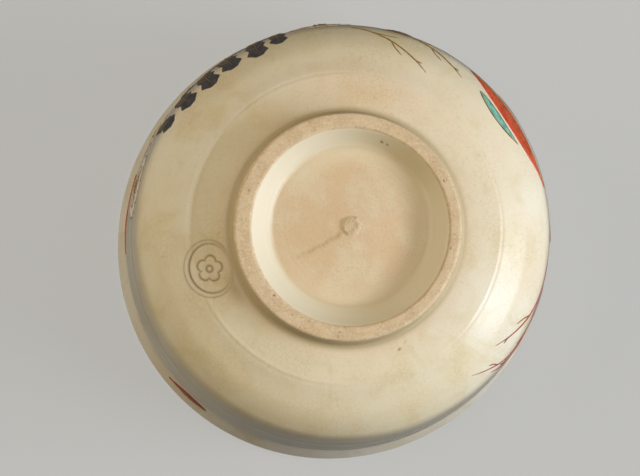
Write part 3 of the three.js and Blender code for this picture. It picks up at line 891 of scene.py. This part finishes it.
# Thin sprigs: a curved stem with bare side twigs that get shorter towards its tip
sprigs = listed(
    "colour azimuth along twigs stem",
    ("gold", 272, 27, 3, [(0, 0), (6, -2), (13, -6), (20, -11)]),
    ("gold", 281, 29.5, 3, [(0, 0), (8, -1), (16, -4), (23, -8)]),
    ("gold", 244, 63, 3, [(0, 0), (4, 4), (8, 9)]), ("gold", 296, 60, 3, [(0, 0), (5, 4), (11, 6)]),
    ("red", 8, 31, 3, [(0, 0), (9, -2), (18, -6), (25, -11)]),
    ("red", 14, 38, 4, [(0, 0), (10, -3), (21, -9), (30, -17)]),
    ("red", 22, 42, 2, [(0, 0), (7, -3), (14, -9), (20, -16)]))
sprigForm = {
    "stem": 0.72, "stemRise": 0.15, "twig": 0.5, "twigRise": 0.12, "twigLength": 8.5, "twigLean": 24,
    "lowest": 0.3, "highest": 0.78,
}


def sprig(number, spec):
    patches = [stroke(spec, spec["stem"], sprigForm["stem"], 0, 12, sprigForm["stemRise"], (1, 0.25))]
    line = spline(spec["stem"], 24)
    run = np.gradient(line, axis=0)
    for i in range(spec["twigs"]):
        share = sprigForm["lowest"] + (sprigForm["highest"] - sprigForm["lowest"]) * i / (spec["twigs"] - 1)
        at = round(share * (len(line) - 1))
        heading = math.atan2(run[at, 0], run[at, 1]) / degree + (1 if i % 2 else -1) * sprigForm["twigLean"]
        length = sprigForm["twigLength"] * (1.15 - share)
        reachX, reachY = turnedBy(np.array([0, 0.5, 0.3]), np.array([0, 0.5, 1]) * length, heading)
        twig = list(zip(line[at, 0] + reachX, line[at, 1] + reachY))
        patches.append(stroke(spec, twig, sprigForm["twig"], 0, 8, sprigForm["twigRise"], (1, 0.2)))
    enamelPiece(f"{spec['colour']}_sprig_{number}", patches, spec["colour"])


for number, spec in enumerate(flowers, 1):
    flower(number, spec)
for number, spec in enumerate(darkLeaves, 1):
    leaf(number, spec)
for number, spec in enumerate(longBlades, 1):
    longBlade(number, spec)
for number, spec in enumerate(sprigs, 1):
    sprig(number, spec)
print("enamels made:", len(flowers), "flowers,", len(darkLeaves), "leaves,", len(longBlades), "blades,",
      len(sprigs), "sprigs")


# Stage: a floor under the foot, and a like sheet over the rim for the view from below. Each shows from one
# side only. Sizes are in metres; own is the glow that the paper is seen with, and lit the share of it that the
# lamps light
stage = {
    "tone": paint(206, 205, 202), "width": 8.0, "underFoot": -0.0002, "overRim": 0.0768,
    "own": 0.62, "lit": 0.3, "ambient": 0.055, "warmth": (1.0, 0.95, 0.82, 1.0),
    "seen": 0.66, "overhead": 0.24,
}


def seenDirectly():  # 1 for what the camera, a mirror or glass sees, 0 for what only lights
    seen = 0.0
    for ray in ("Is Camera Ray", "Is Glossy Ray", "Is Transmission Ray"):
        seen = Wire.math("MAXIMUM", seen, Wire.node("ShaderNodeLightPath", None, None, ray))
    return seen


def stageMaterial():
    material = newMaterial("pale stage paper")
    grain = noise(here(), 3, 2)
    pale, lit = stage["tone"], tuple(stage["lit"] * v for v in stage["tone"][:3]) + (1.0,)
    colour = mixed(grain, lit, tuple(0.97 * v for v in lit[:3]) + (1.0,))
    sheet = Wire.node("ShaderNodeAddShader", None, {
        0: Wire.node("ShaderNodeBsdfDiffuse", None, {"Color": colour, "Roughness": 0.5}),
        1: Wire.node("ShaderNodeEmission", None, {"Color": pale, "Strength": stage["own"] * seenDirectly()})})
    behind = Wire.node("ShaderNodeNewGeometry", None, None, "Backfacing")
    setSurface(Wire.node("ShaderNodeMixShader", None, {
        0: behind, 1: sheet, 2: Wire.node("ShaderNodeBsdfTransparent")}))
    return material


def stageSheet(name, height, facing, material):
    half = stage["width"] / 2
    corners = [(-half, -half, height), (half, -half, height), (half, half, height), (-half, half, height)]
    mesh = bpy.data.meshes.new(name)
    mesh.from_pydata(corners[::facing], [], [(0, 1, 2, 3)])
    mesh.materials.append(material)
    sheet = bpy.data.objects.new(name, mesh)
    bpy.context.scene.collection.objects.link(sheet)
    sheet.visible_diffuse = sheet.visible_shadow = False
    sheet.visible_glossy = facing > 0


def stageWorld():
    world = bpy.data.worlds.new("pale room")
    world.use_nodes = True
    world.node_tree.nodes.clear()
    Wire.tree = world.node_tree
    seen = seenDirectly()
    height = Wire.node("ShaderNodeSeparateXYZ", None, {
        0: Wire.node("ShaderNodeTexCoord", None, None, "Generated")}, "Z")
    room = stage["seen"] + (stage["overhead"] - stage["seen"]) * soft(height, 0.25, 0.65)
    glow = Wire.node("ShaderNodeBackground", None, {
        "Color": mixed(seen, stage["warmth"], stage["tone"]),
        "Strength": stage["ambient"] + (room - stage["ambient"]) * seen})
    Wire.node("ShaderNodeOutputWorld", None, {"Surface": glow})
    bpy.context.scene.world = world


# Lamps, aimed at the middle of the bowl: azimuth and elevation in degrees, sizes and distance in metres
lamps = listed(
    "name azimuth elevation distance width height watts colour only",
    ("window panes", 12.4, -30, 1.2, 0.78, 0.42, 16, (0.8, 0.9, 1.0), "glossy"),
    ("window light", 12.4, -32, 1.2, 0.66, 0.36, 11, (0.8, 0.88, 1.0), "diffuse"),
    ("window glow", 6, -14, 1.2, 0.9, 0.8, 6.6, (0.8, 0.88, 1.0), "diffuse"),
    ("left window", 195, -45, 1.2, 0.6, 0.12, 2.4, (1.0, 0.97, 0.9), "glossy"),
    ("left glow", 186, -42, 1.2, 0.9, 0.9, 5.7, (1.0, 0.9, 0.7), "diffuse"),
    ("left side", 192, 8, 1.2, 0.9, 0.9, 2.8, (1.0, 0.95, 0.82), "diffuse"),
    ("fill from below", 340, -77, 1.2, 1.0, 1.0, 3.6, (1.0, 0.93, 0.74), "diffuse"),
    ("ceiling", 240, 86, 1.3, 1.1, 1.1, 13.5, (1.0, 1.0, 1.0), "diffuse"))
panes = {"lamp": "window panes", "columns": 4, "rows": 2, "bars": 0.07}
lampTarget = Vector((0, 0, 0.038))


def addLamp(name, spec, acrossShare=0.0, upShare=0.0, split=(1, 1)):
    light = bpy.data.lights.new(name, "AREA")
    shown = 1 if split == (1, 1) else 1 - panes["bars"]
    light.shape, light.energy = "RECTANGLE", spec["watts"] / (split[0] * split[1])
    light.size, light.size_y = spec["width"] / split[0] * shown, spec["height"] / split[1] * shown
    light.color = spec["colour"]
    lamp = bpy.data.objects.new(name, light)
    a, e = spec["azimuth"] * degree, spec["elevation"] * degree
    away = Vector((math.cos(a) * math.cos(e), math.sin(a) * math.cos(e), math.sin(e)))
    turn = away.to_track_quat("Z", "Y")
    aside = turn @ Vector((acrossShare * spec["width"], upShare * spec["height"], 0))
    lamp.location = lampTarget + away * spec["distance"] + aside
    lamp.rotation_euler = turn.to_euler()
    lamp.visible_camera = False
    lamp.visible_glossy = spec["only"] == "glossy"
    lamp.visible_diffuse = spec["only"] == "diffuse"
    bpy.context.scene.collection.objects.link(lamp)


def addPanes(name, spec):
    columns, rows = panes["columns"], panes["rows"]
    for i in range(columns):
        for j in range(rows):
            across, up = (i + 0.5) / columns - 0.5, (j + 0.5) / rows - 0.5
            addLamp(f"{name} {i + 1}.{j + 1}", spec, across, up, (columns, rows))


# Camera under the foot, looking up into it; the picture's right is +X and its lower edge is towards +Y
camera = {
    "lens": 120, "sensor": 36, "distance": 600, "aim": (-3.8, -1.1, 76), "lookAlong": (0.0404, -0.0515, 1.0),
}


def addCamera():
    data = bpy.data.cameras.new("camera")
    data.lens, data.sensor_width = camera["lens"], camera["sensor"]
    view = bpy.data.objects.new("camera", data)
    ahead = Vector(camera["lookAlong"]).normalized()
    right = ahead.cross(Vector((0, -1, 0))).normalized()
    axes = Matrix((right, right.cross(ahead), -ahead)).transposed()
    place = Vector(camera["aim"]) - camera["distance"] * ahead
    view.matrix_world = Matrix.Translation(place * mm) @ axes.to_4x4()
    bpy.context.scene.collection.objects.link(view)
    bpy.context.scene.camera = view


paper = stageMaterial()
stageSheet("floor", stage["underFoot"], 1, paper)
stageSheet("sheet over the rim", stage["overRim"], -1, paper)
stageWorld()
for spec in lamps:
    if spec["name"] == panes["lamp"]:
        addPanes(spec["name"], spec)
    else:
        addLamp(spec["name"], spec)
addCamera()
bpy.context.scene.view_settings.view_transform = "Standard"
print("stage, lamps and camera made")
